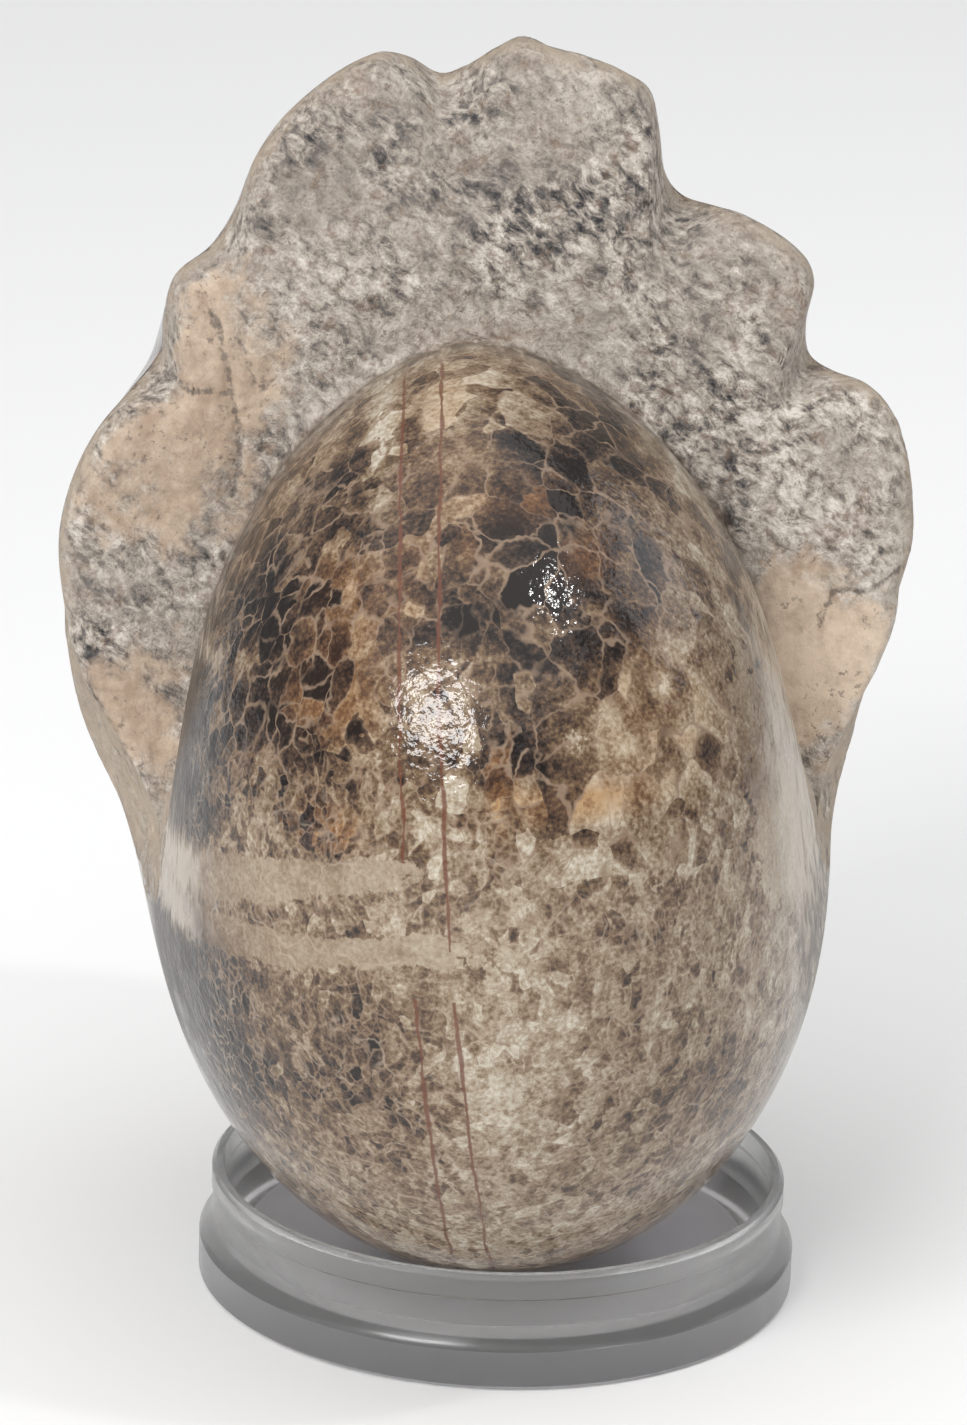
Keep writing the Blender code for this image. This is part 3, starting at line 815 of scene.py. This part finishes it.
plastic.set(plastic.shader.inputs["Base Color"], clear)
haze = plastic.add("VolumeAbsorption", {"Color": (0.62, 0.66, 0.66, 1.0),
                                        "Density": HAZE_PER_METRE})
plastic.set(plastic.output.inputs["Volume"], haze)
stand_mesh.materials.append(plastic.material)

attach(stand, "root")
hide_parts("display_stand")

# The floor: matt pale card, so wide that its edges are never seen, and just below the foot of
# the stand so that the two don't lie in one surface.
FLOOR_REACH = 6.0
FLOOR_DROP = 0.2 * MM
FLOOR_WHITE = (0.90, 0.90, 0.90, 1.0)
floor_mesh = bpy.data.meshes.new("floor")
bm = bmesh.new()
bmesh.ops.create_grid(bm, x_segments=1, y_segments=1, size=FLOOR_REACH)
bmesh.ops.translate(bm, verts=bm.verts, vec=(0, 0, -FLOOR_DROP))
bm.to_mesh(floor_mesh)
bm.free()
floor = bpy.data.objects.new("floor", floor_mesh)
bpy.context.scene.collection.objects.link(floor)
paper = Finish("pale_floor")
paper.shader.inputs["Base Color"].default_value = FLOOR_WHITE
paper.shader.inputs["Roughness"].default_value = 0.9
floor_mesh.materials.append(paper.material)

# Soft studio light: pale surroundings, a wide soft ceiling light, a window at the left that
# shows in the polish, a small lamp above and a cooler window far off at the right. Places and
# sizes are in metres.
FOSSIL_MIDDLE = Vector((0, 0, 75.0)) * MM
SURROUNDINGS = 0.36
CEILING_POWER = 1.4
CEILING_SPREAD = math.radians(100)
world = bpy.data.worlds.new("studio")
world.use_nodes = True
world.node_tree.nodes["Background"].inputs["Color"].default_value = (1.0, 1.0, 1.0, 1.0)
world.node_tree.nodes["Background"].inputs["Strength"].default_value = SURROUNDINGS
bpy.context.scene.world = world


def panel(name, place, width, height, power, tint=(1.0, 1.0, 1.0)):
    """A soft light that faces the fossil."""
    light = bpy.data.lights.new(name, "AREA")
    light.shape = "RECTANGLE"
    light.size, light.size_y, light.energy, light.color = width, height, power, tint
    lamp = bpy.data.objects.new(name, light)
    lamp.location = place
    way = FOSSIL_MIDDLE - Vector(place)
    lamp.rotation_euler = way.to_track_quat("-Z", "Y").to_euler()
    bpy.context.scene.collection.objects.link(lamp)


panel("window", (-0.50, -0.92, 0.68), width=0.60, height=0.26, power=8.5)
panel("lamp", (0.62, -0.32, 1.10), width=0.07, height=0.07, power=1.8)
panel("far_window", (1.15, 0.45, 0.85), width=0.8, height=0.7, power=2.2, tint=(0.92, 0.95, 1.0))

sun = bpy.data.lights.new("ceiling", "SUN")
sun.energy = CEILING_POWER
sun.angle = CEILING_SPREAD
ceiling = bpy.data.objects.new("ceiling", sun)
ceiling.rotation_euler = (math.radians(14), math.radians(-6), 0)
bpy.context.scene.collection.objects.link(ceiling)

# Camera at the photograph's angle, with a focal length found in the photograph's own pixels
PHOTO_HEIGHT = 1425
FOCAL_LENGTH = 4831
SENSOR = 36
CAMERA_PITCH = math.radians(16.85)
CAMERA_ROLL = math.radians(2.0)
CAMERA_DISTANCE = 600 * MM
CAMERA_TARGET = Vector((-3.9, 0, 74.2)) * MM
target = stand_centre + CAMERA_TARGET
camera_data = bpy.data.cameras.new("camera")
camera_data.lens = FOCAL_LENGTH / PHOTO_HEIGHT * SENSOR
camera_data.sensor_width = SENSOR
camera_data.clip_start = 0.01
camera = bpy.data.objects.new("camera", camera_data)
look = Vector((0, math.cos(CAMERA_PITCH), -math.sin(CAMERA_PITCH)))
upright = Matrix.Rotation(math.pi / 2 - CAMERA_PITCH, 4, "X")
rolled = upright @ Matrix.Rotation(CAMERA_ROLL, 4, "Z")
camera.matrix_world = Matrix.Translation(target - look * CAMERA_DISTANCE) @ rolled
bpy.context.scene.collection.objects.link(camera)
bpy.context.scene.camera = camera
bpy.context.scene.view_settings.view_transform = "Standard"
